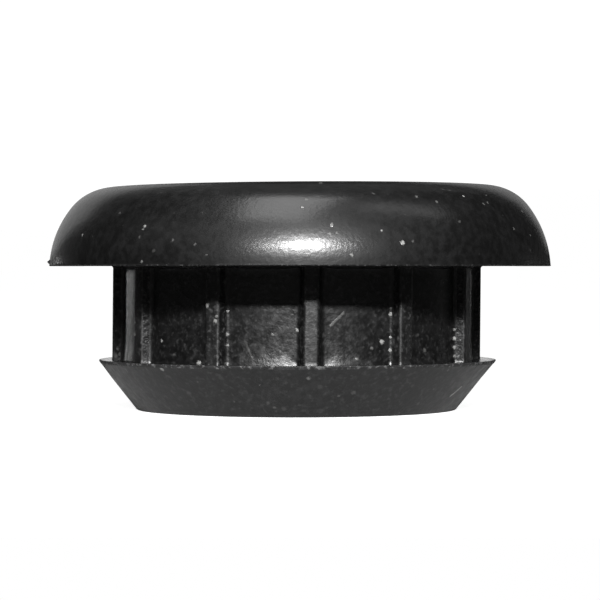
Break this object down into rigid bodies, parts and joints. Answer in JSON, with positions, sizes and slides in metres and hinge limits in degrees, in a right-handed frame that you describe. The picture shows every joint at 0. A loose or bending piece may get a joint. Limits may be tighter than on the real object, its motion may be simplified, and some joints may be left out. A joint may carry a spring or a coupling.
{
  "type": "rubber grommet",
  "caption": "Round push-in rubber panel grommet with a domed head, a ribbed neck, a tapered snap lip and a plain through bore.",
  "frame": {"origin": "on the bore's axis, in the plane of the head's underside, which lies on the panel's face", "axes": "+Z along the bore's axis, out of the domed head; one rib points along +X"},
  "size_m": [0.035, 0.035, 0.0155],
  "materials": {
    "rubber": "moulded satin, unpainted"
  },
  "bodies": {
    "root": {"grommet": "rubber"}
  },
  "joints": []
}
